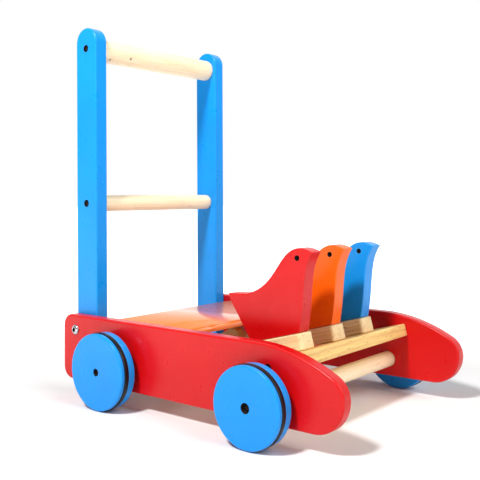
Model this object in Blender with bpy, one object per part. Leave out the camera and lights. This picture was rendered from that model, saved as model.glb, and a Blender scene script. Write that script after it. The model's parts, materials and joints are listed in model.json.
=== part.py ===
"""Push along truck: a wooden baby walker with three rocking birds.

Frame: +X is forward, +Y is the truck's left, +Z is up. The origin is under the middle of the
truck on the floor. Lengths are metres.
"""

import math

import bmesh
import bpy
from mathutils import Vector

# ---------------------------------------------------------------- driving dimensions
GAP = 0.0003  # clearance between touching pieces
RUNNING_GAP = 0.0005  # clearance round pieces that turn
SIDES = (("right", -1.0), ("left", 1.0))

LENGTH = 0.429
TOTAL_HEIGHT = 0.480
WHEEL_FACE_Y = 0.1725  # outer face of each wheel

PANEL_INNER_Y = 0.127
PANEL_THICKNESS = 0.015
PANEL_BOTTOM = 0.022
PANEL_TOP = 0.1055
PANEL_REAR_RADIUS = 0.015
NOSE_LOW_RADIUS = 0.036
NOSE_TOP_RADIUS = 0.026
BROW_ANGLE = math.radians(28.8)  # slope of the brow where it meets the nose
PANEL_EDGE = 0.0022

REAR_AXLE_X = -0.1142
WHEELBASE = 0.2308
FRONT_AXLE_X = REAR_AXLE_X + WHEELBASE
AXLE_RADIUS = 0.010
REAR_DISC_RADIUS = 0.0462
FRONT_DISC_RADIUS = 0.0432
RING_PROUD = 0.0008  # how far the rubber ring stands out of the disc

RING_EDGE = 0.0012

WHEEL_THICKNESS = 0.022
WHEEL_EDGE = 0.0026
GROOVE_START = 0.0052
GROOVE_WIDTH = 0.0068
GROOVE_DEPTH = 0.0030
AXLE_BORE_DEPTH = 0.012
HUB_RECESS_DEPTH = 0.006
REAR_HUB_RECESS = 0.0046  # radii of the screw recesses in the wheels' outer faces
FRONT_HUB_RECESS = 0.0056
HUB_SPACER_RADIUS = 0.016
WHEEL_SCREW_SIDE_GAP = 0.0006  # round a wheel screw's head

POST_WIDTH = 0.039
POST_THICKNESS = 0.0189
POST_X = -0.1860
POST_BOTTOM = 0.027
POST_EDGE = 0.0018
DOWEL_EDGE = 0.0006
GRIP_Z = 0.453
GRIP_RADIUS = 0.015
MID_Z = 0.250
MID_RADIUS = 0.0108

DECK_TOP = 0.100
DECK_THICKNESS = 0.009
DECK_REAR_X = -0.1462
DECK_FRONT_X = -0.0212
DECK_GROOVE = 0.006
DECK_TONGUE = 0.006  # thickness of the deck's tongues, level with its underside
DECK_EDGE = 0.0008

TILT = math.radians(15.0)  # slope of the rocker arms and the plank, nose up
ARM_TOP_FRONT = Vector((0.1193, 0.0, 0.1070))  # upper front edge of each arm
ARM_WIDTH = 0.026
ARM_THICKNESS = 0.019
ARM_TO_FRONT = 0.1356  # from the pivot to the arm's front face
ARM_TO_TAIL = 0.0675
ARM_EDGE = 0.0014
ARM_SPACING = 0.067
PIVOT_RADIUS = 0.006
PIVOT_SOCKET_DEPTH = 0.008
PIVOT_END_GAP = 0.0005
SLEEVE_RADIUS = 0.010
PLANK_AHEAD = 0.0180  # how far the plank reaches in front of the arms
PLANK_WIDTH = 0.043
PLANK_THICKNESS = 0.0155
PLANK_EDGE = 0.0016

BIRD_THICKNESS = 0.019
BIRD_EDGE = 0.0013
BIRDS = (("red", -ARM_SPACING), ("orange", 0.0), ("blue", ARM_SPACING))
EYE_RADIUS = 0.0032
EYE_AHEAD = 0.0165  # of the arm's front end
EYE_HEIGHT = 0.0808  # above the arm's top
CAM_RADIUS = 0.036
CAM_HALF_WIDTH = 0.0125
CAM_THICKNESS = 0.015
CAM_EDGE = 0.001

BOLT_HEAD_RADIUS = 0.0064
BOLT_HEAD_HEIGHT = 0.0032
BOLT_SOCKET_DEPTH = 0.0020
BOLT_SHANK_RADIUS = 0.003
BOLT_LENGTH = 0.030
BOLT_X = POST_X - 0.004
BOLT_HEIGHTS = (0.0445, 0.0865)
SCREW_HEAD_RADIUS = 0.0045
SCREW_SHANK_RADIUS = 0.002
SCREW_LENGTH = 0.040
SCREW_HEAD_HEIGHT = 0.0026
SCREW_DOME = 0.0010
SCREW_SINK = 0.0012  # how far a screw's head lies under the face
OVERCUT = 0.002  # how far a cutter runs past what it cuts

COARSE = 12  # sides of small round pieces
MEDIUM = 20
FINE = 36


# ---------------------------------------------------------------- colours and materials
def channel(value):
    """One 0-255 display channel as a linear value."""
    share = value / 255.0
    return share / 12.92 if share <= 0.04045 else ((share + 0.055) / 1.055) ** 2.4


def make_material(name, display_colour, roughness, metallic=0.0):
    material = bpy.data.materials.new(name)
    material.use_nodes = True
    shader = material.node_tree.nodes["Principled BSDF"]
    shader.inputs["Base Color"].default_value = [channel(v) for v in display_colour] + [1.0]
    shader.inputs["Roughness"].default_value = roughness
    shader.inputs["Metallic"].default_value = metallic
    return material


FINISHES = {
    "red": ((222, 28, 32), 0.30, 0.0),
    "blue": ((38, 150, 240), 0.30, 0.0),
    "orange": ((248, 92, 22), 0.28, 0.0),
    "wood": ((238, 206, 150), 0.55, 0.0),
    "rubber": ((24, 24, 26), 0.60, 0.0),
    "chrome": ((210, 212, 215), 0.15, 1.0),
    "black": ((20, 20, 22), 0.40, 1.0),
}


def finish(node_name, kind):
    """A material of the node's own, in one of the truck's finishes."""
    return make_material(node_name + "_" + kind, *FINISHES[kind])


# ---------------------------------------------------------------- shape helpers
def add_object(name, work, kind):
    """Turns a finished bmesh into a named object with its own material."""
    bmesh.ops.recalc_face_normals(work, faces=work.faces)
    mesh = bpy.data.meshes.new(name)
    work.to_mesh(mesh)
    work.free()
    mesh.shade_smooth()
    mesh.set_sharp_from_angle(angle=math.radians(35.0))
    item = bpy.data.objects.new(name, mesh)
    bpy.context.scene.collection.objects.link(item)
    if kind:
        mesh.materials.append(finish(name, kind))
    return item


def add_empty(name, location, tilt=0.0):
    item = bpy.data.objects.new(name, None)
    item.location = location
    item.rotation_euler = (0.0, tilt, 0.0)
    bpy.context.scene.collection.objects.link(item)
    return item


def arc(centre, radius, start, end, steps):
    """Points of an arc in the XZ plane; angles run from +X towards +Z."""
    angles = [start + (end - start) * i / steps for i in range(steps + 1)]
    return [(centre[0] + radius * math.cos(a), centre[1] + radius * math.sin(a)) for a in angles]


def bezier(p0, p1, p2, p3, steps):
    """Points of a cubic curve, without its last point."""
    points = []
    for i in range(steps):
        t = i / steps
        weights = ((1 - t) ** 3, 3 * t * (1 - t) ** 2, 3 * t * t * (1 - t), t**3)
        corners = (p0, p1, p2, p3)
        points.append(tuple(sum(w * p[k] for w, p in zip(weights, corners)) for k in (0, 1)))
    return points


def board(name, outline, width, kind, edge=0.0):
    """A board sawn to an XZ outline, `width` thick along Y about its own middle."""
    work = bmesh.new()
    ring = [work.verts.new((x, -width / 2, z)) for x, z in outline]
    face = work.faces.new(ring)
    grown = bmesh.ops.extrude_face_region(work, geom=[face])
    moved = [v for v in grown["geom"] if isinstance(v, bmesh.types.BMVert)]
    bmesh.ops.translate(work, verts=moved, vec=(0.0, width, 0.0))
    item = add_object(name, work, kind)
    if edge:
        bevel = item.modifiers.new("eased_edges", "BEVEL")
        bevel.width = edge
        bevel.segments = 2
        bevel.limit_method = "ANGLE"
        bevel.angle_limit = math.radians(40.0)
    return item


def turned(name, profile, segments, kind, closed=False):
    """A turned piece about its own Z. `profile` lists (radius, height) points."""
    work = bmesh.new()
    verts = [work.verts.new((0.0, radius, height)) for radius, height in profile]
    pairs = list(zip(verts, verts[1:]))
    if closed:
        pairs.append((verts[-1], verts[0]))
    edges = [work.edges.new(pair) for pair in pairs]
    bmesh.ops.spin(
        work,
        geom=verts + edges,
        cent=(0.0, 0.0, 0.0),
        axis=(0.0, 0.0, 1.0),
        dvec=(0.0, 0.0, 0.0),
        angle=2 * math.pi,
        steps=segments,
        use_merge=True,
    )
    bmesh.ops.remove_doubles(work, verts=work.verts, dist=0.000001)
    return add_object(name, work, kind)


def rod(name, radius, length, segments, kind, edge=DOWEL_EDGE):
    """A rod about its own Z, centred, with eased ends."""
    half = length / 2
    profile = [
        (0.0, half),
        (radius - edge, half),
        (radius, half - edge),
        (radius, edge - half),
        (radius - edge, -half),
        (0.0, -half),
    ]
    return turned(name, profile, segments, kind)


def tube(name, inner, outer, length, segments, kind):
    """A sleeve about its own Z, centred."""
    half = length / 2
    profile = [(inner, half), (outer, half), (outer, -half), (inner, -half)]
    return turned(name, profile, segments, kind, closed=True)


def face_along_y(item, sign, location):
    """Points the piece's own +Z inward from one side: the right side is sign -1."""
    item.rotation_euler = (sign * math.pi / 2, 0.0, 0.0)
    item.location = location


def cut(target, cutter):
    """Takes the cutter's volume out of the target."""
    cutter.hide_render = True
    cutter.display_type = "WIRE"
    boolean = target.modifiers.new(cutter.name, "BOOLEAN")
    boolean.operation = "DIFFERENCE"
    boolean.solver = "EXACT"
    boolean.object = cutter


def bore(target, x, z, steps, segments=COARSE, parent=None):
    """A round hole along Y. `steps` lists (radius, y) from one end of the hole to the other."""
    profile = [(0.0, steps[0][1]), *steps, (0.0, steps[-1][1])]
    cutter = turned("cutter_" + target.name + "_" + str(len(target.modifiers)), profile, segments, None)
    cutter.rotation_euler = (-math.pi / 2, 0.0, 0.0)
    cutter.location = (x, 0.0, z)
    cutter.parent = parent
    cut(target, cutter)


def plain_steps(radius, y_from, y_to):
    return [(radius, y_from), (radius, y_to)]


def screw_steps(face_y, sign, y_to):
    """A sunk screw's hole, from outside the face at `face_y` in to `y_to`."""
    seat = face_y - sign * (SCREW_SINK + SCREW_HEAD_HEIGHT + GAP)
    head = SCREW_HEAD_RADIUS + GAP
    shank = SCREW_SHANK_RADIUS + GAP
    return [(head, face_y + sign * OVERCUT), (head, seat), (shank, seat), (shank, y_to)]


def pilot_steps(sign, end_y, depth):
    """A blind screw hole in the end of a cross piece, a little deeper than the screw goes."""
    radius = SCREW_SHANK_RADIUS + GAP
    return plain_steps(radius, sign * (end_y + OVERCUT), sign * (end_y - depth - OVERCUT))


def attach(item, parent):
    """Parents an item that is placed in its parent's own frame."""
    item.parent = parent
    return item


# ---------------------------------------------------------------- fasteners
def recessed_screw(name, head_radius=SCREW_HEAD_RADIUS):
    """A pan head screw; its head's top is at height 0 and it points along +Z."""
    profile = [
        (0.0, SCREW_DOME),
        (head_radius * 0.45, 0.0),
        (head_radius, SCREW_DOME),
        (head_radius, SCREW_HEAD_HEIGHT),
        (SCREW_SHANK_RADIUS, SCREW_HEAD_HEIGHT),
        (SCREW_SHANK_RADIUS, SCREW_LENGTH),
        (0.0, SCREW_LENGTH),
    ]
    return turned(name, profile, COARSE, "black")


def cap_bolt(name):
    """A domed cap bolt; the underside of its head is at height 0 and it points along +Z."""
    profile = [
        (0.0, BOLT_SOCKET_DEPTH - BOLT_HEAD_HEIGHT),
        (BOLT_HEAD_RADIUS * 0.45, -BOLT_HEAD_HEIGHT),
        (BOLT_HEAD_RADIUS * 0.90, -BOLT_HEAD_HEIGHT * 0.7),
        (BOLT_HEAD_RADIUS, 0.0),
        (BOLT_SHANK_RADIUS, 0.0),
        (BOLT_SHANK_RADIUS, BOLT_LENGTH),
        (0.0, BOLT_LENGTH),
    ]
    return turned(name, profile, COARSE, "chrome")


# ---------------------------------------------------------------- frame
def panel_outline():
    """Side panel outline, anticlockwise from the rear end of the bottom edge."""
    rear = -LENGTH / 2
    nose = LENGTH / 2
    r = PANEL_REAR_RADIUS
    nose_z = PANEL_BOTTOM + NOSE_LOW_RADIUS
    low_centre = (nose - NOSE_LOW_RADIUS, nose_z)
    top_centre = (nose - NOSE_TOP_RADIUS, nose_z)
    quarter = math.pi / 2
    brow_start_z = nose_z + NOSE_TOP_RADIUS * math.cos(BROW_ANGLE)
    brow_radius = (PANEL_TOP - brow_start_z) / (1.0 - math.cos(BROW_ANGLE))
    brow_start_x = top_centre[0] + NOSE_TOP_RADIUS * math.sin(BROW_ANGLE)
    brow_centre = (brow_start_x - brow_radius * math.sin(BROW_ANGLE), PANEL_TOP - brow_radius)
    points = arc(low_centre, NOSE_LOW_RADIUS, -quarter, 0.0, 8)
    points += arc(top_centre, NOSE_TOP_RADIUS, 0.0, quarter - BROW_ANGLE, 6)[1:]
    points += arc(brow_centre, brow_radius, quarter - BROW_ANGLE, quarter, 8)[1:]
    points += arc((rear + r, PANEL_TOP - r), r, quarter, 2 * quarter, 5)
    points += arc((rear + r, PANEL_BOTTOM + r), r, 2 * quarter, 3 * quarter, 5)
    return points


def plank_screw_place():
    """X and Z of the middle of the plank's end."""
    along = PLANK_AHEAD - PLANK_WIDTH / 2
    down = ARM_THICKNESS + GAP + PLANK_THICKNESS / 2
    x = ARM_TOP_FRONT.x + along * math.cos(TILT) + down * math.sin(TILT)
    z = ARM_TOP_FRONT.z + along * math.sin(TILT) - down * math.cos(TILT)
    return x, z


def pivot_place():
    """X and Z of the rocker arms' pivot."""
    x = ARM_TOP_FRONT.x - ARM_TO_FRONT * math.cos(TILT) + ARM_THICKNESS / 2 * math.sin(TILT)
    z = ARM_TOP_FRONT.z - ARM_TO_FRONT * math.sin(TILT) - ARM_THICKNESS / 2 * math.cos(TILT)
    return x, z


def axle_height(disc_radius):
    return disc_radius + RING_PROUD


def build_panel(side, sign):
    panel = board("side_panel_" + side, panel_outline(), PANEL_THICKNESS, "red", PANEL_EDGE)
    inner = sign * PANEL_INNER_Y
    outer = sign * (PANEL_INNER_Y + PANEL_THICKNESS)
    panel.location = (0.0, (inner + outer) / 2, 0.0)
    through = (inner - sign * OVERCUT, outer + sign * OVERCUT)
    for x, disc_radius in ((REAR_AXLE_X, REAR_DISC_RADIUS), (FRONT_AXLE_X, FRONT_DISC_RADIUS)):
        axle_hole = plain_steps(AXLE_RADIUS + RUNNING_GAP, *through)
        bore(panel, x, axle_height(disc_radius), axle_hole, MEDIUM)
    for z in BOLT_HEIGHTS:
        bore(panel, BOLT_X, z, plain_steps(BOLT_SHANK_RADIUS + GAP, *through))
    bore(panel, *plank_screw_place(), screw_steps(outer, sign, through[0]))
    socket = plain_steps(PIVOT_RADIUS + GAP, through[0], inner + sign * PIVOT_SOCKET_DEPTH)
    bore(panel, *pivot_place(), socket)
    groove_length = DECK_FRONT_X - DECK_REAR_X + 2 * GAP
    groove_height = DECK_TONGUE + 2 * GAP
    groove = board(
        "cutter_groove_" + side,
        box_outline(groove_length, groove_height),
        2 * (DECK_GROOVE + GAP),
        None,
    )
    middle_z = DECK_TOP - DECK_THICKNESS + DECK_TONGUE / 2
    groove.location = ((DECK_REAR_X + DECK_FRONT_X) / 2, inner, middle_z)
    cut(panel, groove)


def box_outline(length, height):
    a, b = length / 2, height / 2
    return [(-a, -b), (a, -b), (a, b), (-a, b)]


def build_post(side, sign):
    """Handle post: a board with a half round top."""
    half = POST_WIDTH / 2
    outline = [(-half, POST_BOTTOM), (half, POST_BOTTOM)]
    outline += arc((0.0, TOTAL_HEIGHT - half), half, 0.0, math.pi, 16)
    post = board("handle_post_" + side, outline, POST_THICKNESS, "blue", POST_EDGE)
    outer = sign * (PANEL_INNER_Y - GAP)
    inner = outer - sign * POST_THICKNESS
    post.location = (POST_X, (inner + outer) / 2, 0.0)
    bolt_end = outer - sign * (BOLT_LENGTH - PANEL_THICKNESS + OVERCUT)
    for z in BOLT_HEIGHTS:
        bore(post, BOLT_X, z, plain_steps(BOLT_SHANK_RADIUS + GAP, outer + sign * OVERCUT, bolt_end))
    for z in (GRIP_Z, MID_Z):
        bore(post, POST_X, z, screw_steps(outer, sign, inner - sign * OVERCUT))


def build_handle_dowels():
    """The grip and the lower rung, butted between the posts and drilled for their screws."""
    reach = PANEL_INNER_Y - 2 * GAP - POST_THICKNESS
    rungs = (("handle_grip_dowel", GRIP_RADIUS, GRIP_Z), ("handle_mid_dowel", MID_RADIUS, MID_Z))
    for name, radius, z in rungs:
        dowel = rod(name, radius, 2 * reach, MEDIUM, "wood")
        dowel.rotation_euler = (-math.pi / 2, 0.0, 0.0)
        dowel.location = (POST_X, 0.0, z)
        pilot = SCREW_LENGTH + SCREW_SINK - POST_THICKNESS
        for _, sign in SIDES:
            bore(dowel, POST_X, z, pilot_steps(sign, reach, pilot))


def build_deck():
    """The deck board, whose tongues are let into grooves in both panels."""
    length = DECK_FRONT_X - DECK_REAR_X
    width = 2 * (PANEL_INNER_Y + DECK_GROOVE - GAP)
    outline = box_outline(length, DECK_THICKNESS)
    deck = board("deck_board", outline, width, "orange", DECK_EDGE)
    middle_x = (DECK_REAR_X + DECK_FRONT_X) / 2
    deck.location = (middle_x, 0.0, DECK_TOP - DECK_THICKNESS / 2)
    rebate_outline = box_outline(length + 2 * OVERCUT, 2 * (DECK_THICKNESS - DECK_TONGUE))
    for side, sign in SIDES:
        rebate = board("cutter_rebate_" + side, rebate_outline, 2 * DECK_GROOVE, None)
        rebate.location = (middle_x, sign * (PANEL_INNER_Y - GAP + DECK_GROOVE), DECK_TOP)
        cut(deck, rebate)


def build_plank():
    """The sloping plank that the rocker arms rest on."""
    width = 2 * (PANEL_INNER_Y - GAP)
    outline = box_outline(PLANK_WIDTH, PLANK_THICKNESS)
    plank = board("front_plank", outline, width, "wood", PLANK_EDGE)
    x, z = plank_screw_place()
    plank.location = (x, 0.0, z)
    plank.rotation_euler = (0.0, -TILT, 0.0)
    pilot = SCREW_LENGTH + SCREW_SINK - PANEL_THICKNESS
    for _, sign in SIDES:
        bore(plank, x, z, pilot_steps(sign, width / 2, pilot))


def build_pivot():
    """The rod that the arms rock on, with sleeves that keep them apart."""
    x, z = pivot_place()
    half_length = PANEL_INNER_Y + PIVOT_SOCKET_DEPTH - PIVOT_END_GAP
    pivot = rod("pivot_rod", PIVOT_RADIUS, 2 * half_length, COARSE, "wood")
    pivot.rotation_euler = (-math.pi / 2, 0.0, 0.0)
    pivot.location = (x, 0.0, z)
    half_arm = ARM_WIDTH / 2
    stops = [
        (-PANEL_INNER_Y, -ARM_SPACING - half_arm),
        (-ARM_SPACING + half_arm, -half_arm),
        (half_arm, ARM_SPACING - half_arm),
        (ARM_SPACING + half_arm, PANEL_INNER_Y),
    ]
    for number, (start, end) in enumerate(stops, 1):
        length = end - start - 2 * RUNNING_GAP
        name = "pivot_sleeve_" + str(number)
        sleeve = tube(name, PIVOT_RADIUS + GAP, SLEEVE_RADIUS, length, COARSE, "wood")
        sleeve.rotation_euler = (-math.pi / 2, 0.0, 0.0)
        sleeve.location = (x, (start + end) / 2, z)


def build_frame_fasteners():
    """Bolts through the panels into the posts, and screws into the dowels and the plank."""
    for side, sign in SIDES:
        panel_face = sign * (PANEL_INNER_Y + PANEL_THICKNESS)
        for level, z in zip(("low", "high"), BOLT_HEIGHTS):
            bolt = cap_bolt("post_bolt_" + side + "_" + level)
            face_along_y(bolt, sign, (BOLT_X, panel_face + sign * GAP, z))
        post_face = sign * (PANEL_INNER_Y - GAP)
        for level, z in (("grip", GRIP_Z), ("mid", MID_Z)):
            screw = recessed_screw("handle_screw_" + side + "_" + level)
            face_along_y(screw, sign, (POST_X, post_face - sign * SCREW_SINK, z))
        x, z = plank_screw_place()
        screw = recessed_screw("plank_screw_" + side)
        face_along_y(screw, sign, (x, panel_face - sign * SCREW_SINK, z))


# ---------------------------------------------------------------- wheels and axles
def wheel_profile(radius, recess_radius):
    """(radius, depth) outline of half a wheel, from the outer face inward, as a closed loop."""
    r, e, t = radius, WHEEL_EDGE, WHEEL_THICKNESS
    soft = e * (1.0 - math.cos(math.pi / 4))
    groove_end = GROOVE_START + GROOVE_WIDTH
    floor = r - GROOVE_DEPTH
    screw = SCREW_SHANK_RADIUS + GAP
    bored = AXLE_RADIUS + GAP
    return [
        (recess_radius, 0.0),
        (r - e, 0.0),
        (r - soft, soft),
        (r, e),
        (r, GROOVE_START),
        (floor, GROOVE_START),
        (floor, groove_end),
        (r, groove_end),
        (r, t - e),
        (r - soft, t - soft),
        (r - e, t),
        (bored, t),
        (bored, t - AXLE_BORE_DEPTH),
        (screw, t - AXLE_BORE_DEPTH),
        (screw, HUB_RECESS_DEPTH),
        (recess_radius, HUB_RECESS_DEPTH),
    ]


def ring_profile(radius):
    """(radius, depth) outline of the rubber ring, as a closed loop."""
    low = radius - GROOVE_DEPTH + GAP
    high = radius + RING_PROUD
    start = GROOVE_START + GAP
    end = GROOVE_START + GROOVE_WIDTH - GAP
    return [
        (low, start),
        (high - RING_EDGE, start),
        (high, start + RING_EDGE),
        (high, end - RING_EDGE),
        (high - RING_EDGE, end),
        (low, end),
    ]


def build_wheels(label, x, disc_radius, recess_radius):
    """One wooden axle with a wheel, a rubber ring, a spacer and a screw at each end."""
    z = axle_height(disc_radius)
    joint = add_empty(label + "_axle_joint", (x, 0.0, z))
    half_length = WHEEL_FACE_Y - WHEEL_THICKNESS + AXLE_BORE_DEPTH - GAP
    axle = attach(rod(label + "_axle", AXLE_RADIUS, 2 * half_length, MEDIUM, "wood"), joint)
    axle.rotation_euler = (-math.pi / 2, 0.0, 0.0)
    screw_head_y = WHEEL_FACE_Y - HUB_RECESS_DEPTH + GAP + SCREW_HEAD_HEIGHT
    pilot = SCREW_LENGTH - (screw_head_y - half_length)
    panel_face = PANEL_INNER_Y + PANEL_THICKNESS
    room = WHEEL_FACE_Y - WHEEL_THICKNESS - panel_face
    spacer_length = room - 2 * RUNNING_GAP
    outline = wheel_profile(disc_radius, recess_radius)
    for side, sign in SIDES:
        wheel = turned(label + "_wheel_" + side, outline, FINE, "blue", True)
        face_along_y(attach(wheel, joint), sign, (0.0, sign * WHEEL_FACE_Y, 0.0))
        ring = turned(label + "_tyre_" + side, ring_profile(disc_radius), FINE, "rubber", True)
        face_along_y(attach(ring, joint), sign, (0.0, sign * WHEEL_FACE_Y, 0.0))
        name = label + "_spacer_" + side
        spacer = tube(name, AXLE_RADIUS + GAP, HUB_SPACER_RADIUS, spacer_length, MEDIUM, "wood")
        face_along_y(attach(spacer, joint), sign, (0.0, sign * (panel_face + room / 2), 0.0))
        name = label + "_wheel_screw_" + side
        screw = recessed_screw(name, REAR_HUB_RECESS - WHEEL_SCREW_SIDE_GAP)
        face_along_y(attach(screw, joint), sign, (0.0, sign * screw_head_y, 0.0))
        bore(axle, 0.0, 0.0, pilot_steps(sign, half_length, pilot), COARSE, joint)
    return joint


def build_cams(joint):
    """Oblong paddles on the rear axle, one behind each arm's tail, a third of a turn apart."""
    straight = CAM_RADIUS - CAM_HALF_WIDTH
    quarter = math.pi / 2
    outline = arc((straight, 0.0), CAM_HALF_WIDTH, -quarter, quarter, 8)
    outline += arc((-straight, 0.0), CAM_HALF_WIDTH, quarter, 3 * quarter, 8)
    for number, (label, y) in enumerate(BIRDS):
        cam = attach(board("cam_" + label, outline, CAM_THICKNESS, "wood", CAM_EDGE), joint)
        cam.location = (0.0, y, 0.0)
        cam.rotation_euler = (0.0, math.pi / 3 * number + math.pi / 6, 0.0)
        axle_hole = plain_steps(AXLE_RADIUS + GAP, y - CAM_THICKNESS, y + CAM_THICKNESS)
        bore(cam, 0.0, 0.0, axle_hole, MEDIUM, joint)


# ---------------------------------------------------------------- rocking birds
def bird_outline():
    """Bird outline in the arm's frame: X along the arm, Z up from its top, 0 at its front end."""
    breast_foot = (-0.0025, 0.0)
    tail_foot = (-0.0730, 0.0)
    tail_corner = (-0.0915, 0.0540)
    tail_tip = (-0.0920, 0.0620)
    nape = (-0.0660, 0.0562)
    crown = (0.0170, 0.0916)
    beak = (0.0380, 0.0825)
    points = bezier(breast_foot, (0.0160, 0.0370), (0.0170, 0.0660), beak, 10)
    points += bezier(beak, (0.0320, 0.0868), (0.0250, 0.0916), crown, 5)
    points += bezier(crown, (-0.0100, 0.0918), (-0.0210, 0.0545), nape, 12)
    points += [nape, tail_tip, tail_corner, tail_foot]
    return points


def build_rockers():
    """Three arms on the pivot rod, each with a bird standing on its front end."""
    pivot_x, pivot_z = pivot_place()
    arm_outline = box_outline(ARM_TO_FRONT + ARM_TO_TAIL, ARM_THICKNESS)
    pivot_hole = plain_steps(PIVOT_RADIUS + RUNNING_GAP, -ARM_WIDTH, ARM_WIDTH)
    eye_hole = plain_steps(EYE_RADIUS, -BIRD_THICKNESS, BIRD_THICKNESS)
    eye_x = ARM_TO_FRONT + EYE_AHEAD
    eye_z = ARM_THICKNESS / 2 + EYE_HEIGHT
    for label, y in BIRDS:
        joint = add_empty("rocker_joint_" + label, (pivot_x, y, pivot_z), -TILT)
        arm = board("rocker_arm_" + label, arm_outline, ARM_WIDTH, "wood", ARM_EDGE)
        attach(arm, joint).location = ((ARM_TO_FRONT - ARM_TO_TAIL) / 2, 0.0, 0.0)
        bore(arm, 0.0, 0.0, pivot_hole, COARSE, joint)
        bird = board("bird_" + label, bird_outline(), BIRD_THICKNESS, label, BIRD_EDGE)
        attach(bird, joint).location = (ARM_TO_FRONT, 0.0, ARM_THICKNESS / 2 + GAP)
        bore(bird, eye_x, eye_z, eye_hole, COARSE, joint)


# ---------------------------------------------------------------- the truck
def main():
    for item in list(bpy.data.objects):
        bpy.data.objects.remove(item, do_unlink=True)
    for side, sign in SIDES:
        build_panel(side, sign)
        build_post(side, sign)
    build_handle_dowels()
    build_deck()
    build_plank()
    build_pivot()
    build_frame_fasteners()
    build_wheels("front", FRONT_AXLE_X, FRONT_DISC_RADIUS, FRONT_HUB_RECESS)
    rear_joint = build_wheels("rear", REAR_AXLE_X, REAR_DISC_RADIUS, REAR_HUB_RECESS)
    build_cams(rear_joint)
    build_rockers()


main()
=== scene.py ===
"""Looks of the push along truck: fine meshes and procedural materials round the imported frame.

Lengths are metres in the frame's own axes: +X forward, +Y the truck's left, +Z up.
"""

import json
import math

import bmesh
import bpy
from mathutils import Matrix, Vector


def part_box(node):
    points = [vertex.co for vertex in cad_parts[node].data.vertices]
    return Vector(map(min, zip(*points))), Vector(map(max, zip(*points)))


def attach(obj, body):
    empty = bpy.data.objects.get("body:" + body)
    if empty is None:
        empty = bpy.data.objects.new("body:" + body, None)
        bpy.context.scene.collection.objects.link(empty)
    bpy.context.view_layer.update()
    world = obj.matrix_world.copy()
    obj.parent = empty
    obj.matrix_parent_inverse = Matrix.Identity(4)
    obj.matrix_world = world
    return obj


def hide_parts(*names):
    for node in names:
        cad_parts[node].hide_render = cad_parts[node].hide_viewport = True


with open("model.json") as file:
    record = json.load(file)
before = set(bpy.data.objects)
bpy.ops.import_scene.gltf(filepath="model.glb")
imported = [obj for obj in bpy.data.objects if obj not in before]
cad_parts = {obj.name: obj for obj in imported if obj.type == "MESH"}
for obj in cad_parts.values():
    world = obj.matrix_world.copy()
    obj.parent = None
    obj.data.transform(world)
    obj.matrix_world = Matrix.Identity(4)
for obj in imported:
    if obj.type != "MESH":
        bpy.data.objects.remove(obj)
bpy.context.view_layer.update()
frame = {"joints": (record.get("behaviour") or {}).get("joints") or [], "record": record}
RECORD = frame["record"]

BODY_OF = {node: body for body, nodes in RECORD["behaviour"]["bodies"].items() for node in nodes}
JOINT_AT = {joint["name"]: Vector(joint["pos_m"]) for joint in frame["joints"]}
SIDES = (("right", -1.0), ("left", 1.0))
ENDS = ("front", "rear")
BIRDS = ("red", "orange", "blue")

# ---------------------------------------------------------------- driving dimensions
QUARTER = math.pi / 2
GAP = 0.0003  # clearance between touching pieces
RUNNING_GAP = 0.0005  # clearance all round a piece that turns
OVERCUT = 0.002  # how far a cutter runs past what it cuts
HOLE_EDGE = 0.00025  # rounding of a drilled hole's rim
BOARD_CORNER = math.radians(40.0)  # a board's edges are eased where they turn by more
RIM_CORNER = math.radians(65.0)  # and the rims of its holes where they do
SHARP_TURN = math.radians(34.0)  # smooth shading stops where a surface turns by more
WELD = 0.000001  # points closer than this are one point

PANEL_REAR_RADIUS = 0.015
NOSE_LOW_RADIUS = 0.036
NOSE_TOP_RADIUS = 0.026
BROW_ANGLE = math.radians(28.8)
PANEL_EDGE = 0.0022
PIVOT_SOCKET_DEPTH = 0.008
DECK_GROOVE = 0.006
DECK_TONGUE = 0.006  # thickness of the deck's tongues, level with its underside

POST_EDGE = 0.0018
DOWEL_EDGE = 0.0006
DECK_EDGE = 0.0009
PLANK_WIDTH = 0.043
PLANK_THICKNESS = 0.0155
PLANK_EDGE = 0.0017

TILT = math.radians(15.0)
ARM_TO_FRONT = 0.1356
ARM_TO_TAIL = 0.0675
ARM_THICKNESS = 0.019
ARM_EDGE = 0.0018
ARM_FRONT_RADIUS = 0.0045  # of the upright edges at an arm's front end
BIRD_EDGE = 0.0015
EYE_RADIUS = 0.0032
EYE_AHEAD = 0.0165
EYE_HEIGHT = 0.0808
PIVOT_RADIUS = 0.006
PIVOT_SLEEVES = 4
CAM_RADIUS = 0.036
CAM_HALF_WIDTH = 0.0125
CAM_EDGE = 0.001
CAM_FIRST_TURN = math.pi / 6
CAM_STEP = math.pi / 3  # between one cam and the next

AXLE_RADIUS = 0.010
WHEEL_THICKNESS = 0.022
WHEEL_EDGE = 0.0026
GROOVE_START = 0.0052
GROOVE_WIDTH = 0.0068
GROOVE_DEPTH = 0.0030
GROOVE_EDGE = 0.0005
CROWN_POWER = 2.6  # how square the crown of a rubber ring is; 2 would be an ellipse
AXLE_BORE_DEPTH = 0.012
HUB_RECESS_DEPTH = 0.006
HUB_EDGE = 0.0006
HUB_RECESS = {"front": 0.0056, "rear": 0.0046}

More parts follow.
